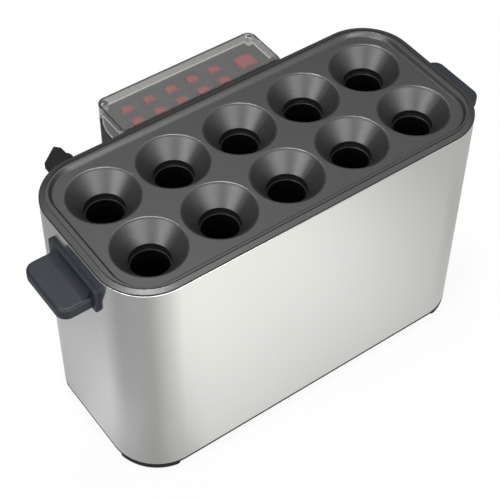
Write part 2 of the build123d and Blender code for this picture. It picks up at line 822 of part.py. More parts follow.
def switch_housing(bezel, body, mouth, pivot_depth, trunnion, blade):
    """Snap-in switch housing whose bezel stands on the panel, at each place now active."""
    bezel_length, bezel_width, bezel_height = bezel
    body_length, body_width, body_depth = body
    mouth_length, mouth_width = mouth
    blade_width, blade_length, blade_distance = blade
    mouth_depth = pivot_depth + rocker_skirt + rocker_under_gap
    blade_size = (blade_thickness, blade_width, blade_length)
    Box(bezel_length, bezel_width, bezel_height, align=from_base)
    Box(body_length, body_width, body_depth, align=to_base)
    with Locations((-blade_distance / 2, 0, -body_depth), (blade_distance / 2, 0, -body_depth)):
        Box(*blade_size, align=to_base)
    with Locations((0, 0, bezel_height + cut_overrun)):
        Box(mouth_length, mouth_width, mouth_depth + cut_overrun, align=to_base, mode=Mode.SUBTRACT)
    with Locations(Location((0, 0, bezel_height - pivot_depth), (90, 0, 0))):
        Cylinder(trunnion + trunnion_play, mouth_width + 2 * trunnion_length, mode=Mode.SUBTRACT)


def rocker(place, length, width, nose, rise, pivot_level, trunnion):
    """Rocker at rest, tipped about its pivot so that the end towards -X stands up."""
    tilt = radians(rocker_tilt)
    pivot = (place[0], back_wall + place[1], pivot_level)
    crest = rise + nose * tan(radians(nose_angle))
    end = length / 2
    with BuildPart() as piece:
        tipped = Plane(pivot, x_dir=(cos(tilt), 0, -sin(tilt)), z_dir=(0, -1, 0))
        with BuildSketch(tipped):
            with BuildLine():
                Polyline(
                    (-end, rise),
                    (-end + nose, crest),
                    (end - nose, crest),
                    (end, rise),
                    (end - rocker_taper, -rocker_skirt),
                    (-end + rocker_taper, -rocker_skirt),
                    close=True,
                )
            make_face()
        extrude(amount=width / 2, both=True)
        fillet(piece.edges(), rocker_edge_round)
        with Locations(tipped):
            Cylinder(trunnion, width + 2 * trunnion_length)
    return piece


# Ten channel switches: their housings in one group, their rockers each on its own
with BuildPart() as channel_switch_bodies:
    with Locations(behind(panel_top)):
        with Locations(*switch_places):
            switch_housing(
                (channel_bezel_length, channel_bezel_width, channel_bezel_height),
                (channel_body_length, channel_body_width, channel_body_depth),
                (channel_rocker_length + 2 * rocker_end_gap, channel_rocker_width + 2 * rocker_side_gap),
                channel_pivot_depth,
                channel_trunnion,
                (channel_blade_width, channel_blade_length, channel_blade_distance),
            )
    fillet(edges_at(channel_switch_bodies, panel_top + channel_bezel_height), bezel_edge_round)
finish(channel_switch_bodies, "channel_switch_bodies")

for number, place in enumerate(switch_places, start=1):
    channel_rocker = rocker(
        place, channel_rocker_length, channel_rocker_width, channel_rocker_nose, channel_rocker_rise,
        panel_top + channel_bezel_height - channel_pivot_depth, channel_trunnion,
    )
    finish(channel_rocker, f"channel_rocker_{number}")

# Main switch
with BuildPart() as main_switch_body:
    with Locations(behind(panel_top)):
        with Locations(main_switch_place):
            switch_housing(
                (main_bezel_length, main_bezel_width, main_bezel_height),
                (main_body_length, main_body_width, main_body_depth),
                (main_rocker_length + 2 * rocker_end_gap, main_rocker_width + 2 * rocker_side_gap),
                main_pivot_depth,
                main_trunnion,
                (main_blade_width, main_blade_length, main_blade_distance),
            )
    fillet(edges_at(main_switch_body, panel_top + main_bezel_height), bezel_edge_round)
finish(main_switch_body, "main_switch_body")

main_rocker = rocker(
    main_switch_place, main_rocker_length, main_rocker_width, main_rocker_nose, main_rocker_rise,
    panel_top + main_bezel_height - main_pivot_depth, main_trunnion,
)
finish(main_rocker, "main_rocker")

# Clear cover: a shallow hood, open at the front and below, with a tab on each side
with BuildPart() as clear_cover:
    with BuildSketch(behind(cover_bottom)) as outline:
        with Locations((0, cover_front_gap)):
            Rectangle(box_width, box_reach - cover_front_gap, align=(Align.CENTER, Align.MIN))
        fillet(outline.vertices().group_by(Axis.Y)[-1], box_corner)
    extrude(amount=cover_skirt)
    fillet(edges_at(clear_cover, cover_top).sort_by(Axis.Y)[1:], cover_edge_round)
    with BuildSketch(behind(cover_bottom - cut_overrun)) as hollow:
        Rectangle(2 * cover_inside, box_reach - cover_wall, align=(Align.CENTER, Align.MIN))
        fillet(hollow.vertices().group_by(Axis.Y)[-1], box_corner - cover_wall)
    extrude(amount=cover_skirt - cover_wall + cut_overrun, mode=Mode.SUBTRACT)
    ear_edges = clear_cover.edges().filter_by(Axis.X).group_by(Axis.Y)[0].group_by(Axis.Z)[0]
    fillet(ear_edges, cover_ear_round)
    for side in (-1, 1):
        with BuildSketch(side_on(side * box_side)) as tab:
            with Locations(((tab_front + tab_back) / 2, cover_bottom - tab_drop)):
                Rectangle(tab_back - tab_front, tab_drop + cover_wall, align=(Align.CENTER, Align.MIN))
            fillet(tab.vertices().group_by(Axis.Y)[0], tab_round)
        extrude(amount=-side * cover_wall)
        post = (side * (cover_inside - rest_post_inset), back_wall + box_reach - cover_wall - rest_post_inset)
        bar((*post, panel_top + rest_gap), (*post, cover_top - cover_wall / 2), rest_post_radius)
        bar((side * (cover_inside - cut_overrun), back_wall + hinge_back, hinge_level),
            (side * (box_side + cut_overrun), back_wall + hinge_back, hinge_level),
            hinge_pin_radius + hinge_pin_play, Mode.SUBTRACT)
finish(clear_cover, "clear_cover")

with BuildPart() as cover_hinge_pins:
    for side in (-1, 1):
        pin_length = box_side + hinge_head_gap - lug_outside + hinge_lug_thickness
        screw((side * (box_side + hinge_head_gap), back_wall + hinge_back, hinge_level), (-side, 0, 0),
              pin_length, hinge_pin_radius, hinge_head_radius, hinge_head_height)
finish(cover_hinge_pins, "cover_hinge_pins")

# Cord outlet: a block behind the back wall's left end, bored for the lead and its gland
gland_y = back_wall + gland_reach
hood_bottom = hood_top - hood_height
with BuildPart() as cord_outlet:
    with BuildSketch(behind(hood_top - hood_thickness)):
        with BuildLine():
            Polyline(
                (hood_width - hood_left, -hood_front),
                (hood_shoulder_inset - hood_left, hood_shoulder_reach),
                (hood_back_inset - hood_left, hood_back_reach),
                (-hood_left, hood_side_reach),
                (-hood_left, -hood_front),
                close=True,
            )
        make_face()
    extrude(amount=hood_thickness)
    clear_of_wall = cord_outlet.edges().filter_by(lambda edge: edge.center().Y > back_wall - hood_front / 2)
    fillet(clear_of_wall, hood_edge_round)
    # Boss for the gland under the hood, and the neck that joins it to the wall
    bar((-gland_x, gland_y, hood_bottom), (-gland_x, gland_y, hood_top - hood_thickness / 2),
        gland_radius + hood_boss_wall)
    bar((-gland_x, back_wall - hood_front, passage_level), (-gland_x, gland_y, passage_level),
        gland_bore_radius + hood_boss_wall)
    with BuildSketch(level(hood_bottom - cut_overrun)):
        casing_outline(-hood_seat_gap)
    extrude(amount=hood_height + 2 * cut_overrun, mode=Mode.SUBTRACT)
    bar((-gland_x, gland_y, hood_bottom - cut_overrun),
        (-gland_x, gland_y, passage_level + gland_bore_radius), gland_radius + thread_gap, Mode.SUBTRACT)
    wall_bore((-gland_x, passage_level), -cut_overrun, gland_reach, gland_bore_radius)
    wall_bore(hood_screw_place, -cut_overrun, box_screw_length - shell_sheet + blind_gap,
              screw_radius + thread_gap)
finish(cord_outlet, "cord_outlet")

with BuildPart() as cord_gland:
    bar((-gland_x, gland_y, hood_bottom), (-gland_x, gland_y, hood_bottom + gland_length), gland_radius)
    bar((-gland_x, gland_y, hood_bottom), (-gland_x, gland_y, hood_bottom - gland_flange_height),
        gland_flange_radius)
    upright_bore((-gland_x, gland_y), hood_bottom - gland_flange_height, hood_bottom + gland_length,
                 gland_bore_radius)
finish(cord_gland, "cord_gland")

# Overheat cutout on the tray's underside
with BuildPart() as thermal_cutout:
    bar((-thermal_x, body_y, tray_underside), (-thermal_x, body_y, tray_underside - thermal_height),
        thermal_radius)
finish(thermal_cutout, "thermal_cutout")

# Earth point on the base plate
with BuildPart() as earth_stud:
    screw((*earth_place, foot_height), (0, 0, 1), earth_length,
          earth_radius, rod_head_radius, screw_head_height)
    bar((*earth_place, base_top), (*earth_place, base_top + earth_nut_height), rod_head_radius)
finish(earth_stud, "earth_stud")

# Wiring loom: a trunk in the casing with a lead to each heater, and a trunk in the box with leads
# to the switches and the terminal block
heater_lead_x = heater_radius + heater_lug_reach / 2
heater_lead_y = (heater_lug_width + heater_slot) / 4
last_branch = hole_places[-1][0] + heater_lead_x
with BuildPart() as wiring_loom:
    # Mains lead from above the gland down to the trunk's left end, then the trunk
    wire(
        [
            (-gland_x, gland_y, hood_bottom + gland_length),
            (-gland_x, gland_y, passage_level),
            (-gland_x, loom_y, passage_level),
            (-gland_x, loom_y, loom_level),
            (0, loom_y, loom_level),
        ],
        mains_radius,
    )
    bar((-gland_x, loom_y, loom_level), (last_branch, loom_y, loom_level), loom_radius)
    with Locations((-gland_x, loom_y, loom_level), (last_branch, loom_y, loom_level)):
        Sphere(loom_radius)
    for x, y in hole_places:
        lead_x = x + heater_lead_x
        lead_y = body_y + y + heater_lead_y
        wire([(lead_x, loom_y, loom_level), (lead_x, lead_y, loom_level), (lead_x, lead_y, heater_bottom)],
             lead_radius)
    # Leads to the overheat cutout and the earth point
    wire([(-thermal_x, loom_y, loom_level), (-thermal_x, body_y, loom_level),
          (-thermal_x, body_y, tray_underside - thermal_height)], lead_radius)
    wire([(earth_x, loom_y, loom_level), (*earth_place, loom_level),
          (*earth_place, foot_height + earth_length)], lead_radius)
    # Up the back wall and through the duct into the box
    wire([(0, loom_y, loom_level), (0, loom_y, duct_level), (0, box_loom_y, duct_level)], loom_radius)
    box_loom_end = main_switch_x + main_blade_distance / 2
    bar((-box_loom_end, box_loom_y, duct_level), (box_loom_end, box_loom_y, duct_level), loom_radius)
    with Locations(*[(side * box_loom_end, box_loom_y, duct_level) for side in (-1, 1)]):
        Sphere(loom_radius)
    for x, reach in switch_places:
        for side in (-1, 1):
            blade_x = x + side * channel_blade_distance / 2
            blade_y = back_wall + reach
            wire([(blade_x, box_loom_y, duct_level), (blade_x, blade_y, duct_level),
                  (blade_x, blade_y, panel_top - channel_body_depth - channel_blade_length)], lead_radius)
    for side in (-1, 1):
        blade_x = main_switch_x + side * main_blade_distance / 2
        bar((blade_x, box_loom_y, duct_level),
            (blade_x, box_loom_y, panel_top - main_body_depth - main_blade_length), lead_radius)
    for place in block_way_places:
        bar((*place, duct_level), (*place, block_top - block_way_depth), lead_radius)
finish(wiring_loom, "wiring_loom")
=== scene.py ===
import bpy
import bmesh
from math import cos, degrees, pi, radians, sin
from mathutils import Matrix, Vector


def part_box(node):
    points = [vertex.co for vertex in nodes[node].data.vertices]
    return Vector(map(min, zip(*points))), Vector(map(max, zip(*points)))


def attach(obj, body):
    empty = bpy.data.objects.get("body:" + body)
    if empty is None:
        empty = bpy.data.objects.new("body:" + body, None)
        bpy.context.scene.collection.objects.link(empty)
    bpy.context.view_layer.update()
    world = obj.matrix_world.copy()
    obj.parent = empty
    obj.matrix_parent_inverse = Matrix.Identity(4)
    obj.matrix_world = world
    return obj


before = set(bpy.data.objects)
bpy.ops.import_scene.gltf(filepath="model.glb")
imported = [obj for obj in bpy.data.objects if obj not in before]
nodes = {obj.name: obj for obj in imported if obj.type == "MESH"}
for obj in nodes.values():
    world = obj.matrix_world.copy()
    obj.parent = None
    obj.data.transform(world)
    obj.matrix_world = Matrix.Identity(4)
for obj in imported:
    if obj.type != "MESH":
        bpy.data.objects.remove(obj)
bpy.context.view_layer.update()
channelCount = 10     # each channel has a tube, a heater band and a rocker
channels = range(1, channelCount + 1)
quarterTurn = pi / 2
bumpDepth = 0.0002    # metres, at a bump of 1
print("frame loaded:", len(nodes), "nodes")


def linear(hexColour):
    # sRGB hex to the linear colour that the shaders take
    parts = [int(hexColour[i:i + 2], 16) / 255 for i in (1, 3, 5)]
    return (*[c / 12.92 if c <= 0.04045 else ((c + 0.055) / 1.055) ** 2.4 for c in parts], 1)


def grey(level):
    return (level, level, level, 1)


def perMm(size):
    # Texture scale for a feature of this size in millimetres
    return 1000 / size


def add(tree, kind, inputs, **settings):
    # One node: its settings, then each input as a value or as another node's output
    made = tree.nodes.new(kind)
    for name, value in settings.items():
        setattr(made, name, value)
    for name, value in inputs.items():
        if isinstance(value, bpy.types.NodeSocket):
            tree.links.new(value, made.inputs[name])
        else:
            made.inputs[name].default_value = value
    return made


def startFinish(name, shaderInputs):
    made = bpy.data.materials.new(name)
    made.use_nodes = True
    tree = made.node_tree
    tree.nodes.clear()
    shader = add(tree, "ShaderNodeBsdfPrincipled", shaderInputs)
    add(tree, "ShaderNodeOutputMaterial", {"Surface": shader.outputs[0]})
    return made, tree, shader


def dressSurface(tree, shader, look, tone, wear, height=None):
    # Colour goes with the tone and roughness with the wear, each between the look's two limits.
    # A height raises the surface by the look's bump.
    contrast = look.get("contrast", (0, 1))
    colour = add(tree, "ShaderNodeMix", {
        0: tone, "A": linear(look["dark"]), "B": linear(look["pale"])}, data_type="RGBA")
    roughness = add(tree, "ShaderNodeMapRange", {
        "Value": wear, "From Min": contrast[0], "From Max": contrast[1],
        "To Min": look["roughness"][0], "To Max": look["roughness"][1]})
    tree.links.new(colour.outputs["Result"], shader.inputs["Base Color"])
    tree.links.new(roughness.outputs["Result"], shader.inputs["Roughness"])
    if height:
        relief = add(tree, "ShaderNodeBump", {
            "Height": height, "Strength": look["bump"], "Distance": look.get("depth", bumpDepth)})
        tree.links.new(relief.outputs[0], shader.inputs["Normal"])


def paint(finish, *names):
    for name in names:
        mesh = nodes[name].data
        mesh.materials.clear()
        mesh.materials.append(finish)


# Camera: solved from the funnels' mouths and the casing's outline, in metres and radians
camera = {
    "place": (-0.4386, -0.6034, 0.9290),
    "yaw": 0.6343,
    "pitch": 0.8488,
    "roll": 0.01484,
    "focalPixels": 1379.8,
    "widthPixels": 500,
    "sensor": 36.0,
    "clip": (0.05, 50),
}
look = Vector((sin(camera["yaw"]) * cos(camera["pitch"]), cos(camera["yaw"]) * cos(camera["pitch"]),
               -sin(camera["pitch"])))
right = Vector((cos(camera["yaw"]), -sin(camera["yaw"]), 0))
up = right.cross(look)
rolledRight = right * cos(camera["roll"]) + up * sin(camera["roll"])
rolledUp = up * cos(camera["roll"]) - right * sin(camera["roll"])
lens = bpy.data.cameras.new("camera")
lens.sensor_width = camera["sensor"]
lens.lens = camera["focalPixels"] / camera["widthPixels"] * camera["sensor"]
lens.clip_start, lens.clip_end = camera["clip"]
viewer = bpy.data.objects.new("camera", lens)
turned = Matrix((rolledRight, rolledUp, -look)).transposed().to_4x4()
viewer.matrix_world = Matrix.Translation(camera["place"]) @ turned
bpy.context.scene.collection.objects.link(viewer)
bpy.context.scene.camera = viewer
print("camera set")

# Studio: a soft surround with four softboxes over a white table. The surround and ceiling are seen
# only in gloss, so they are a painted reflection of light and dark bands. The lists of brightness
# below hold shares of 1, and the full brightness stands beside them.
studio = {
    "fill": 0.58,
    # degrees from straight ahead, positive to the right
    "surround": [(-180, 0.07), (-130, 0.08), (-100, 0.15), (-76, 0.38), (-46, 0.80), (-16, 0.50),
                 (20, 0.42), (50, 0.18), (85, 0.08), (130, 0.06), (180, 0.07)],
    "surroundBrightest": 3.0,
    "ceiling": 0.30,
    "ceilingFrom": (0.55, 0.72),
    "aim": (0, -0.022, 0.11),
    "lamps": [
        # name, azimuth, elevation, distance, width, height, radiance
        ("rightSoftbox", -10, 30, 2.2, 1.2, 1.1, 2.2),
        ("leftSoftbox", -84, 32, 2.2, 1.3, 1.0, 3.5),
        ("lowSoftbox", 11, 18, 2.2, 0.85, 0.4, 5.5),
        ("topSoftbox", 169, 78.3, 2.0, 0.45, 0.45, 25.0),
    ],
}
# Table: white paper. What the steel mirrors of it is a painted reflection, a glow seen only in
# gloss, whose light and dark bands and shade near the casing are set by a place on the table: how
# far round the casing's front left corner, how far to the right, and how far from the casing's
# wall.
tableLook = {
    "half": 6,
    "drop": 0.0002,
    "tone": (0.97, 0.99),
    "grainMm": 40,
    "glow": 0.88,
    # degrees round the corner, 0 straight ahead and negative to the left
    "roundCorner": [(-180, 0.70), (-152, 0.64), (-142, 0.72), (-132, 0.81), (-118, 0.86),
                    (-98, 0.70), (-84, 0.61), (-66, 0.56), (-50, 0.51), (-36, 0.48), (-25, 0.53),
                    (-13, 0.62), (-4, 0.66), (8, 0.71), (20, 0.89), (30, 1.0), (80, 1.0),
                    (120, 0.85), (160, 0.70), (180, 0.70)],
    # metres to the right of the machine's middle
    "across": [(-0.08, 1.0), (-0.03, 1.0), (0.02, 0.95), (0.06, 0.95), (0.10, 0.90), (0.15, 0.80),
               (0.21, 0.61), (0.26, 0.48), (0.40, 0.44)],
    # metres out from the casing's wall
    "outwardLeft": [(0.0, 0.66), (0.022, 0.72), (0.042, 0.73), (0.062, 0.60), (0.085, 0.54),
                    (0.13, 0.48), (0.3, 0.42)],
    "outwardFront": [(0.0, 0.64), (0.022, 0.72), (0.05, 0.78), (0.075, 0.83), (0.13, 0.95),
                     (0.3, 1.0)],
    "leftToFront": (-95, 5),
    "tints": ("#fefdff", "#fffefa"),
    "brightest": 1.27,
}
casingLow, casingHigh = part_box("body_shell")
casingCorner = 0.041      # radius of its upright corners
casingMiddle = (casingLow + casingHigh) / 2
casingHalf = (casingHigh - casingLow) / 2


def readOff(tree, value, stops):
    # Brightness read off a list of (value, brightness)
    first, last = stops[0][0], stops[-1][0]
    share = add(tree, "ShaderNodeMapRange", {"Value": value, "From Min": first, "From Max": last})
    ramp = add(tree, "ShaderNodeValToRGB", {"Fac": share.outputs["Result"]})
    ramp.color_ramp.interpolation = "B_SPLINE"
    marks = ramp.color_ramp.elements
    while len(marks) < len(stops):
        marks.new(1.0)
    for mark, (at, level) in zip(marks, stops):
        mark.position = (at - first) / (last - first)
        mark.color = grey(level)
    return ramp.outputs["Color"]


def turnAbout(tree, vector):
    # Compass angle of a vector in degrees, 0 towards the front and positive to the right, and the
    # node with the vector's parts
    parts = add(tree, "ShaderNodeSeparateXYZ", {"Vector": vector})
    ahead = add(tree, "ShaderNodeMath", {0: parts.outputs["Y"], 1: -1.0}, operation="MULTIPLY")
    angle = add(tree, "ShaderNodeMath", {0: parts.outputs["X"], 1: ahead.outputs[0]},
                operation="ARCTAN2")
    inDegrees = add(tree, "ShaderNodeMath", {0: angle.outputs[0], 1: degrees(1)},
                    operation="MULTIPLY")
    return inDegrees.outputs[0], parts


def raysOf(tree):
    # 1 for what a gloss mirrors, and 1 for what the camera sees, straight or through the cover
    rays = add(tree, "ShaderNodeLightPath", {})
    direct = add(tree, "ShaderNodeMath", {
        0: rays.outputs["Is Camera Ray"], 1: rays.outputs["Is Transmission Ray"]},
        operation="MAXIMUM")
    return rays.outputs["Is Glossy Ray"], direct.outputs[0]


world = bpy.data.worlds.new("studio")
world.use_nodes = True
bpy.context.scene.world = world
tree = world.node_tree
tree.nodes.clear()
glossy, direct = raysOf(tree)
direction = add(tree, "ShaderNodeTexCoord", {}).outputs["Generated"]
turn, parts = turnAbout(tree, direction)
overhead = add(tree, "ShaderNodeMapRange", {
    "Value": parts.outputs["Z"],
    "From Min": studio["ceilingFrom"][0], "From Max": studio["ceilingFrom"][1]})
above = add(tree, "ShaderNodeMix", {
    0: overhead.outputs["Result"], "A": readOff(tree, turn, studio["surround"]),
    "B": grey(studio["ceiling"])}, data_type="RGBA")
fill = add(tree, "ShaderNodeBackground", {"Color": grey(1), "Strength": studio["fill"]})
# Painted reflection: the surround that gloss mirrors, graded by direction, while other rays see the
# even fill
paintedSurroundReflection = add(tree, "ShaderNodeBackground", {
    "Color": above.outputs["Result"], "Strength": studio["surroundBrightest"]})
white = add(tree, "ShaderNodeBackground", {"Color": grey(1), "Strength": 1.0})
light = add(tree, "ShaderNodeMixShader", {0: glossy, 1: fill.outputs[0], 2: paintedSurroundReflection.outputs[0]})
seen = add(tree, "ShaderNodeMixShader", {0: direct, 1: light.outputs[0], 2: white.outputs[0]})
add(tree, "ShaderNodeOutputWorld", {"Surface": seen.outputs[0]})

tablePaper = bpy.data.materials.new("tablePaper")
tablePaper.use_nodes = True
tree = tablePaper.node_tree
tree.nodes.clear()
glossy, direct = raysOf(tree)
place = add(tree, "ShaderNodeTexCoord", {}).outputs["Object"]
paperGrain = add(tree, "ShaderNodeTexNoise", {
    "Vector": place, "Scale": perMm(tableLook["grainMm"]), "Detail": 2.0})
paperTone = add(tree, "ShaderNodeMapRange", {
    "Value": paperGrain.outputs["Fac"],
    "To Min": tableLook["tone"][0], "To Max": tableLook["tone"][1]})
matt = add(tree, "ShaderNodeBsdfDiffuse", {"Color": paperTone.outputs["Result"]})
fromCorner = add(tree, "ShaderNodeVectorMath", {
    0: place, 1: (casingLow.x + casingCorner, casingLow.y + casingCorner, 0)},
    operation="SUBTRACT")
turn, parts = turnAbout(tree, fromCorner.outputs[0])
fromMiddle = add(tree, "ShaderNodeVectorMath", {
    0: place, 1: (casingMiddle.x, casingMiddle.y, 0)}, operation="SUBTRACT")
oneQuarter = add(tree, "ShaderNodeVectorMath", {0: fromMiddle.outputs[0]}, operation="ABSOLUTE")
outside = add(tree, "ShaderNodeVectorMath", {
    0: oneQuarter.outputs[0], 1: (casingHalf.x, casingHalf.y, 0)}, operation="SUBTRACT")
clearOf = add(tree, "ShaderNodeVectorMath", {0: outside.outputs[0], 1: (0, 0, 0)},
              operation="MAXIMUM")
distance = add(tree, "ShaderNodeVectorMath", {0: clearOf.outputs[0]}, operation="LENGTH")
toTheRight = add(tree, "ShaderNodeSeparateXYZ", {"Vector": fromMiddle.outputs[0]})
toFront = add(tree, "ShaderNodeMapRange", {
    "Value": turn, "From Min": tableLook["leftToFront"][0],
    "From Max": tableLook["leftToFront"][1]}).outputs["Result"]
outward = add(tree, "ShaderNodeMix", {
    0: toFront,
    "A": readOff(tree, distance.outputs["Value"], tableLook["outwardLeft"]),
    "B": readOff(tree, distance.outputs["Value"], tableLook["outwardFront"])}, data_type="RGBA")
tint = add(tree, "ShaderNodeMix", {
    0: toFront, "A": linear(tableLook["tints"][0]), "B": linear(tableLook["tints"][1])},
    data_type="RGBA")
across = readOff(tree, toTheRight.outputs["X"], tableLook["across"])
level = readOff(tree, turn, tableLook["roundCorner"])
for factor in (across, outward.outputs["Result"], tint.outputs["Result"]):
    level = add(tree, "ShaderNodeVectorMath", {0: level, 1: factor},
                operation="MULTIPLY").outputs[0]
# Painted reflection: the table as gloss mirrors it, an emission graded by place rather than lit
paintedTableReflection = add(tree, "ShaderNodeEmission", {
    "Color": level, "Strength": tableLook["brightest"]})
glow = add(tree, "ShaderNodeEmission", {"Color": grey(1), "Strength": 1.0})
share = add(tree, "ShaderNodeMath", {0: direct, 1: tableLook["glow"]}, operation="MULTIPLY")
lit = add(tree, "ShaderNodeMixShader", {
    0: share.outputs[0], 1: matt.outputs[0], 2: glow.outputs[0]})
paper = add(tree, "ShaderNodeMixShader", {
    0: glossy, 1: lit.outputs[0], 2: paintedTableReflection.outputs[0]})
add(tree, "ShaderNodeOutputMaterial", {"Surface": paper.outputs[0]})

mesh = bpy.data.meshes.new("tableTop")
shape = bmesh.new()
bmesh.ops.create_grid(shape, x_segments=1, y_segments=1, size=tableLook["half"])
shape.to_mesh(mesh)
shape.free()
mesh.materials.append(tablePaper)
tableTop = bpy.data.objects.new("tableTop", mesh)
tableTop.location.z = -tableLook["drop"]
bpy.context.scene.collection.objects.link(tableTop)

for name, azimuth, elevation, distance, width, height, radiance in studio["lamps"]:
    lamp = bpy.data.lights.new(name, "AREA")
    lamp.shape = "RECTANGLE"
    lamp.size = width
    lamp.size_y = height
    lamp.energy = radiance * pi * width * height
    holder = bpy.data.objects.new(name, lamp)
    a, e = radians(azimuth), radians(elevation)
    out = Vector((sin(a) * cos(e), -cos(a) * cos(e), sin(e)))
    holder.location = Vector(studio["aim"]) + out * distance
    holder.rotation_euler = (-out).to_track_quat("-Z", "Y").to_euler()
    bpy.context.scene.collection.objects.link(holder)
print("studio set")

# Satin stainless steel, brushed along the sheet: a broad soft gloss that runs up and down, with
# fine level lines. Real lines are about 0.05 mm apart and are drawn at 0.5 mm so that they show.
steel = {
    "dark": "#dcdcdb",
    "pale": "#e2e2e1",
    "lineMm": 0.5,
    "lineLengthMm": 60,
    "cloudMm": 90,
    "cloudShare": 0.35,
    "contrast": (0.3, 0.7),
    "roughness": (0.17, 0.21),
    "bump": 0.008,
    "depth": 0.0003,
    "drawnOut": 0.75,
}
satinSteel, tree, shader = startFinish("satinBrushedStainlessSteel", {
    "Metallic": 1.0, "Anisotropic": steel["drawnOut"]})
place = add(tree, "ShaderNodeTexCoord", {}).outputs["Object"]
lines = add(tree, "ShaderNodeMapping", {"Vector": place, "Scale": (
    perMm(steel["lineLengthMm"]), perMm(steel["lineLengthMm"]), perMm(steel["lineMm"]))})
brushed = add(tree, "ShaderNodeTexNoise", {
    "Vector": lines.outputs[0], "Scale": 1.0, "Detail": 3.0}).outputs["Fac"]
cloud = add(tree, "ShaderNodeTexNoise", {
    "Vector": place, "Scale": perMm(steel["cloudMm"]), "Detail": 2.0}).outputs["Fac"]
both = add(tree, "ShaderNodeMix", {0: steel["cloudShare"], "A": brushed, "B": cloud},
           data_type="FLOAT")
dressSurface(tree, shader, steel, brushed, both.outputs["Result"], brushed)
upright = add(tree, "ShaderNodeCombineXYZ", {"Z": 1.0})     # gloss spreads across the lines
tree.links.new(upright.outputs[0], shader.inputs["Tangent"])
paint(satinSteel, "body_shell")
print("casing finished")

# Non-stick coating sprayed on cast aluminium: dark warm grey, satin, with a faint speckle and the
# slight orange peel of the casting under it
coating = {
    "speckMm": 0.9,
    "speckRange": (0.35, 0.7),
    "peelMm": 2.2,
    "roughness": (0.32, 0.40),
    "bump": 0.08,
    "ior": 1.5,
}


def sprayedCoating(name, dark, pale, gloss=1.0):
    made, tree, shader = startFinish(name, {"IOR": coating["ior"], "Specular IOR Level": gloss})
    place = add(tree, "ShaderNodeTexCoord", {}).outputs["Object"]
    specks = add(tree, "ShaderNodeTexNoise", {
        "Vector": place, "Scale": perMm(coating["speckMm"]), "Detail": 2.0})
    peel = add(tree, "ShaderNodeTexNoise", {
        "Vector": place, "Scale": perMm(coating["peelMm"]), "Detail": 1.0}).outputs["Fac"]
    tone = add(tree, "ShaderNodeMapRange", {
        "Value": specks.outputs["Fac"],
        "From Min": coating["speckRange"][0], "From Max": coating["speckRange"][1]})
    dressSurface(tree, shader, {**coating, "dark": dark, "pale": pale}, tone.outputs["Result"],
                 peel, peel)
    return made


paint(sprayedCoating("sprayedNonStickOnCastAluminium", "#1a1a19", "#292928"), "top_tray")
# The tubes have the same coating in a darker tone
darkerTubeCoating = sprayedCoating("darkerNonStickInTubes", "#0c0c0c", "#141413")
paint(darkerTubeCoating, *[f"cook_tube_{n}" for n in channels])
print("tray and tubes finished")

moulding = {
    "ior": 1.5,
    "gloss": 0.5,
    "flowShare": 0.5,
}


def mouldedPlastic(name, look):
    # Moulded plastic: a fine even texture from the mould, and a slow change of tone over the part
    made, tree, shader = startFinish(name, {
        "IOR": moulding["ior"], "Specular IOR Level": look.get("gloss", moulding["gloss"])})
    place = add(tree, "ShaderNodeTexCoord", {}).outputs["Object"]
    grain = add(tree, "ShaderNodeTexNoise", {
        "Vector": place, "Scale": perMm(look["grainMm"]), "Detail": 2.0}).outputs["Fac"]
    flow = add(tree, "ShaderNodeTexNoise", {
        "Vector": place, "Scale": perMm(look["flowMm"]), "Detail": 1.0}).outputs["Fac"]
    tone = add(tree, "ShaderNodeMix", {0: moulding["flowShare"], "A": grain, "B": flow},
               data_type="FLOAT")
    dressSurface(tree, shader, look, tone.outputs["Result"], grain, grain)
    return made


# Handles: glass-filled nylon, moulded with a fine spark texture, dark blue-grey and semi-matt
handleLook = {"dark": "#1a2027", "pale": "#222932", "grainMm": 0.8, "flowMm": 25,
              "roughness": (0.38, 0.5), "bump": 0.12, "gloss": 0.4}
paint(mouldedPlastic("mouldedNylonHandle", handleLook), "handle_left", "handle_right")

# Control box and switch panel: black ABS with a fine mould texture, which greys it a little
boxLook = {"dark": "#070708", "pale": "#0e0e10", "grainMm": 0.7, "flowMm": 30,
           "roughness": (0.36, 0.5), "bump": 0.15, "gloss": 0.35}
paint(mouldedPlastic("mouldedBlackAbs", boxLook), "control_box", "switch_panel")

# Cord outlet: black polypropylene, duller and deeper in tone than the box
outletLook = {"dark": "#040404", "pale": "#0a0a0a", "grainMm": 0.7, "flowMm": 16,
              "roughness": (0.5, 0.62), "bump": 0.12, "gloss": 0.25}
paint(mouldedPlastic("mouldedPolypropylene", outletLook), "cord_outlet")

# Switch housings and the cord's gland: black polyamide, smoother than the box, so the bezels
# catch thin lights
housingLook = {"dark": "#0a0a0b", "pale": "#131315", "grainMm": 0.6, "flowMm": 12,
               "roughness": (0.25, 0.34), "bump": 0.05}
paint(mouldedPlastic("mouldedPolyamideHousing", housingLook), "channel_switch_bodies",
      "main_switch_body", "cord_gland")

# Rockers: red polycarbonate from a polished mould, so they catch small clear lights
rockerLook = {"dark": "#b00d16", "pale": "#cf1a22", "grainMm": 0.8, "flowMm": 6,
              "roughness": (0.18, 0.26), "bump": 0.03}
paint(mouldedPlastic("polishedRedPolycarbonate", rockerLook), "main_rocker",
      *[f"channel_rocker_{n}" for n in channels])

# Feet and the loom's bush: moulded black rubber, dull and dusty
rubberLook = {"dark": "#101010", "pale": "#1d1d1c", "grainMm": 0.9, "flowMm": 14,
              "roughness": (0.62, 0.8), "bump": 0.2, "gloss": 0.35}
paint(mouldedPlastic("mouldedRubber", rubberLook), "duct_bush",
      *[f"foot_{end}_{side}" for end in ("front", "back") for side in ("left", "right")])

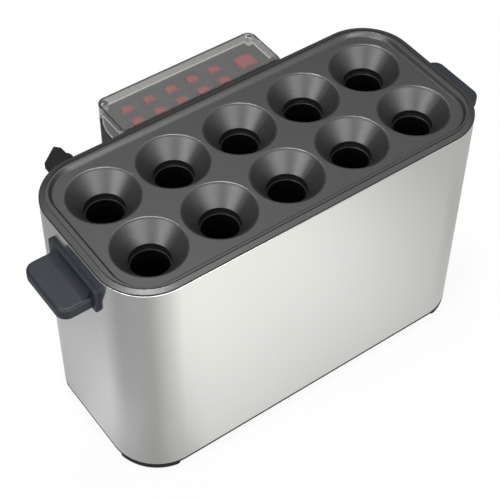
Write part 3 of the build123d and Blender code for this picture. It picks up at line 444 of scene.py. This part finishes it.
# Base plate: steel sheet powder-coated black, with the coating's fine orange peel
baseLook = {"dark": "#070707", "pale": "#0e0e0f", "grainMm": 1.1, "flowMm": 40,
            "roughness": (0.45, 0.58), "bump": 0.2, "gloss": 0.3}
paint(mouldedPlastic("powderCoatedSteel", baseLook), "base_plate")

# Loom: PVC sleeve, smooth and slightly waxy
loomLook = {"dark": "#1a1a1a", "pale": "#262625", "grainMm": 1.0, "flowMm": 20,
            "roughness": (0.4, 0.5), "bump": 0.06}
paint(mouldedPlastic("extrudedPvcSleeve", loomLook), "wiring_loom")

# Terminal block: pressed steatite ceramic, off-white and matt, with a grainy fracture
ceramicLook = {"dark": "#cfc7b4", "pale": "#e0d9c8", "grainMm": 0.8, "flowMm": 8,
               "roughness": (0.55, 0.7), "bump": 0.12}
paint(mouldedPlastic("pressedSteatite", ceramicLook), "terminal_block")

# Overheat cutout: pressed phenolic case, brown-black and slightly glossy
cutoutLook = {"dark": "#1c1310", "pale": "#2a1d18", "grainMm": 0.7, "flowMm": 6,
              "roughness": (0.3, 0.4), "bump": 0.05}
paint(mouldedPlastic("pressedPhenolic", cutoutLook), "thermal_cutout")
print("plastics finished")


def rolledMetal(name, look):
    # Bare metal as it comes from the roll or the plating bath: streaks along Z and a mottled tone
    made, tree, shader = startFinish(name, {"Metallic": 1.0})
    place = add(tree, "ShaderNodeTexCoord", {}).outputs["Object"]
    drawn = add(tree, "ShaderNodeMapping", {"Vector": place, "Scale": (
        perMm(look["streakMm"]), perMm(look["streakMm"]), perMm(look["streakLengthMm"]))})
    streaks = add(tree, "ShaderNodeTexNoise", {
        "Vector": drawn.outputs[0], "Scale": 1.0, "Detail": 2.0}).outputs["Fac"]
    dressSurface(tree, shader, look, streaks, streaks)
    return made


# Screws, pins, rods and rack: zinc-plated steel, bright with a slight blue mottle
zincLook = {"dark": "#a9adb0", "pale": "#c6c8c8", "streakMm": 1.5, "streakLengthMm": 6,
            "roughness": (0.22, 0.34)}
paint(rolledMetal("zincPlatedSteel", zincLook), "cover_hinge_pins", "handle_screws",
      "base_screws", "box_screws", "tie_rods", "earth_stud", "tube_rack")

# Panel screws: steel blackened in a hot oxide bath, dark with a faint warm gloss
oxideLook = {"dark": "#1d1c1b", "pale": "#2b2a28", "streakMm": 1.5, "streakLengthMm": 3,
             "roughness": (0.34, 0.46)}
paint(rolledMetal("blackOxideSteel", oxideLook), "panel_screws")

# Heater bands: stainless strip tinted straw brown by its own heat
heaterLook = {"dark": "#8d7c5e", "pale": "#b3a98f", "streakMm": 4, "streakLengthMm": 40,
              "roughness": (0.3, 0.42)}
paint(rolledMetal("heatTintedStainlessStrip", heaterLook), *[f"heater_band_{n}" for n in channels])
print("metals finished")

# Clear cover: injection-moulded polycarbonate, glossy, with the faint haze of handling
polycarbonateIor = 1.58
coverLook = {"tint": "#cbcbca", "hazeMm": 18, "roughness": (0.08, 0.14), "haze": 0.05,
             "lightThrough": 0.85}
clearCover, tree, shader = startFinish("mouldedClearPolycarbonate", {
    "Base Color": linear(coverLook["tint"]), "IOR": polycarbonateIor,
    "Transmission Weight": 1 - coverLook["haze"]})
place = add(tree, "ShaderNodeTexCoord", {}).outputs["Object"]
haze = add(tree, "ShaderNodeTexNoise", {
    "Vector": place, "Scale": perMm(coverLook["hazeMm"]), "Detail": 3.0})
handled = add(tree, "ShaderNodeMapRange", {
    "Value": haze.outputs["Fac"],
    "To Min": coverLook["roughness"][0], "To Max": coverLook["roughness"][1]})
tree.links.new(handled.outputs["Result"], shader.inputs["Roughness"])
clear = add(tree, "ShaderNodeBsdfTransparent", {"Color": linear(coverLook["tint"])})
rays = add(tree, "ShaderNodeLightPath", {})
shadowShare = add(tree, "ShaderNodeMath", {
    0: rays.outputs["Is Shadow Ray"], 1: coverLook["lightThrough"]}, operation="MULTIPLY")
glass = add(tree, "ShaderNodeMixShader", {
    0: shadowShare.outputs[0], 1: shader.outputs[0], 2: clear.outputs[0]})
tree.links.new(glass.outputs[0], tree.nodes["Material Output"].inputs["Surface"])
paint(clearCover, "clear_cover")
print("clear cover finished")

beads = {
    "sides": 8,
    "turnSteps": 12,
    "weld": 0.00002,
}


def sweptBead(name, thickness, start, heading, axis, steps):
    # A round bead swept in one plane. Each step is a straight run, then a turn about the axis by an
    # angle with a radius; a turn to the left of the heading is positive.
    heading, axis, at = Vector(heading), Vector(axis), Vector(start)
    shape = bmesh.new()
    facing = Matrix.Translation(at) @ heading.to_track_quat("Z", "Y").to_matrix().to_4x4()
    made = bmesh.ops.create_circle(shape, cap_ends=False, radius=thickness / 2,
                                   segments=beads["sides"], matrix=facing)
    verts = made["verts"]
    edges = list({edge for vert in verts for edge in vert.link_edges})
    for run, angle, radius in steps:
        if run:
            made = bmesh.ops.extrude_edge_only(shape, edges=edges)
            verts = [item for item in made["geom"] if isinstance(item, bmesh.types.BMVert)]
            edges = [item for item in made["geom"] if isinstance(item, bmesh.types.BMEdge)]
            bmesh.ops.translate(shape, verts=verts, vec=heading * run)
            at += heading * run
        if angle:
            centre = at + axis.cross(heading) * (radius if angle > 0 else -radius)
            turned = Matrix.Rotation(angle, 3, axis)
            made = bmesh.ops.spin(shape, geom=verts + edges, cent=centre, axis=axis, angle=angle,
                                  steps=beads["turnSteps"], use_merge=False, use_duplicate=False)
            verts = [item for item in made["geom_last"] if isinstance(item, bmesh.types.BMVert)]
            edges = [item for item in made["geom_last"] if isinstance(item, bmesh.types.BMEdge)]
            at = centre + turned @ (at - centre)
            heading = turned @ heading
    bmesh.ops.remove_doubles(shape, verts=shape.verts, dist=beads["weld"])
    ends = [edge for edge in shape.edges if edge.is_boundary]
    if ends:
        bmesh.ops.holes_fill(shape, edges=ends, sides=beads["sides"])
    bmesh.ops.recalc_face_normals(shape, faces=shape.faces)
    mesh = bpy.data.meshes.new(name)
    shape.to_mesh(mesh)
    shape.free()
    mesh.shade_smooth()
    piece = bpy.data.objects.new(name, mesh)
    bpy.context.scene.collection.objects.link(piece)
    return piece


# Painted shadow: a thin dark cord in the corner between the tray's rim and the casing's edge,
# standing for the shadow gap there
gapShade = {
    "inset": 0.0007,
    "thickness": 0.0013,
    "rise": 0.0001,
}
gapShadeLook = {"dark": "#0b0b0b", "pale": "#131313", "grainMm": 0.9, "flowMm": 20,
            "roughness": (0.5, 0.65), "bump": 0.05, "gloss": 0.3}
longRun = 2 * (casingHalf.x - casingCorner)
shortRun = 2 * (casingHalf.y - casingCorner)
trayGapShade = sweptBead(
    "tray_gap_shade", gapShade["thickness"],
    (casingLow.x + casingCorner, casingLow.y + gapShade["inset"], casingHigh.z + gapShade["rise"]),
    (1, 0, 0), (0, 0, 1),
    [(run, quarterTurn, casingCorner - gapShade["inset"])
     for run in (longRun, shortRun, longRun, shortRun)])
trayGapShade.data.materials.append(mouldedPlastic("darkCordForGapShadow", gapShadeLook))
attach(trayGapShade, "machine")
print("seal made")

# Rings at the tubes' mouths, where the coating is worn duller, so each is a faint grey crescent
ring = {
    "thickness": 0.0019,
    "radius": 0.0150,
    "sunk": 0.0027,
    "gloss": 0.3,
}
wornCoating = sprayedCoating("wornNonStickAtTubeMouths", "#141414", "#1f1f1e", ring["gloss"])
for n in channels:
    tubeLow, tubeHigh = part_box(f"cook_tube_{n}")
    tubeMiddle = (tubeLow + tubeHigh) / 2
    bead = sweptBead(
        f"tube_ring_{n}", ring["thickness"],
        (tubeMiddle.x, tubeMiddle.y - ring["radius"], tubeHigh.z - ring["sunk"]),
        (1, 0, 0), (0, 0, 1), [(0, quarterTurn, ring["radius"])] * 4)
    bead.data.materials.append(wornCoating)
    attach(bead, "machine")
print("tube rings made")

coverLow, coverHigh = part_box("clear_cover")
coverCorner = 0.0070      # radius of its back corners, seen from above


def coverBead(name, line, level):
    # A bead along the cover's right side, back and left side, at one level
    radius = coverCorner - line["inset"]
    sideRun = coverHigh.y - coverLow.y - line["front"] - coverCorner
    backRun = coverHigh.x - coverLow.x - 2 * coverCorner
    return sweptBead(
        name, line["thickness"],
        (coverHigh.x - line["inset"], coverLow.y + line["front"], level), (0, 1, 0), (0, 0, 1),
        [(sideRun, quarterTurn, radius), (backRun, quarterTurn, radius), (sideRun, 0, 0)])


# Painted highlight on the clear cover's edges: near-white glowing beads along its lower rim and the
# outline of the side tabs show as thin bright lines
edge = {
    "thickness": 0.0007,
    "inset": 0.0022,
    "front": 0.0040,
    "rimLevel": 0.2023,
    "tabInset": 0.0009,
    "tabFront": 0.0075,
    "tabBack": 0.0345,
    "tabRound": 0.0071,
    "cutMm": 3,
    # Painted highlight: near-white colours and a white glow, though the edge is no lamp
    "dark": "#c4c8c8",
    "pale": "#f4f6f6",
    "roughness": (0.12, 0.3),
    "coat": 0.5,
    "glow": 0.6,
}
edgeHighlightFinish, tree, shader = startFinish("glowingEdgePaintedHighlight", {
    "IOR": polycarbonateIor, "Coat Weight": edge["coat"],
    "Emission Color": grey(1), "Emission Strength": edge["glow"]})
place = add(tree, "ShaderNodeTexCoord", {}).outputs["Object"]
cut = add(tree, "ShaderNodeTexNoise", {
    "Vector": place, "Scale": perMm(edge["cutMm"]), "Detail": 2.0}).outputs["Fac"]
dressSurface(tree, shader, edge, cut, cut)
rim = coverBead("cover_rim_highlight_bead", edge, edge["rimLevel"])
rim.data.materials.append(edgeHighlightFinish)
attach(rim, "cover")

# Painted shade: a near-black bead along the cover's thick rounded crown, where the crown bends the
# view into the dark box and shows as a dark line
crown = {
    "thickness": 0.0013,
    "inset": 0.0008,
    "front": 0.0020,
}
crownShadeLook = {"dark": "#020202", "pale": "#070707", "grainMm": 2.0, "flowMm": 20,
             "roughness": (0.4, 0.5), "bump": 0.02, "gloss": 0.05}
crownShadeLine = coverBead("cover_crown_shade_line", crown, coverHigh.z - crown["inset"])
crownShadeLine.data.materials.append(mouldedPlastic("nearBlackPaintedCrownShade", crownShadeLook))
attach(crownShadeLine, "cover")

# Outlines of the side tabs, with the rim's painted highlight finish
tabDepth = edge["rimLevel"] - coverLow.z - edge["tabRound"] - edge["tabInset"]
tabFoot = edge["tabBack"] - edge["tabFront"] - 2 * (edge["tabInset"] + edge["tabRound"])
for side, label in ((-1, "left"), (1, "right")):
    bead = sweptBead(
        f"cover_tab_highlight_bead_{label}", edge["thickness"],
        (side * (coverHigh.x - edge["tabInset"]),
         casingHigh.y + edge["tabFront"] + edge["tabInset"], edge["rimLevel"]),
        (0, 0, -1), (1, 0, 0),
        [(tabDepth, quarterTurn, edge["tabRound"]), (tabFoot, quarterTurn, edge["tabRound"]),
         (tabDepth, 0, 0)])
    bead.data.materials.append(edgeHighlightFinish)
    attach(bead, "cover")
print("cover edges made")

bpy.context.scene.view_settings.view_transform = "Standard"
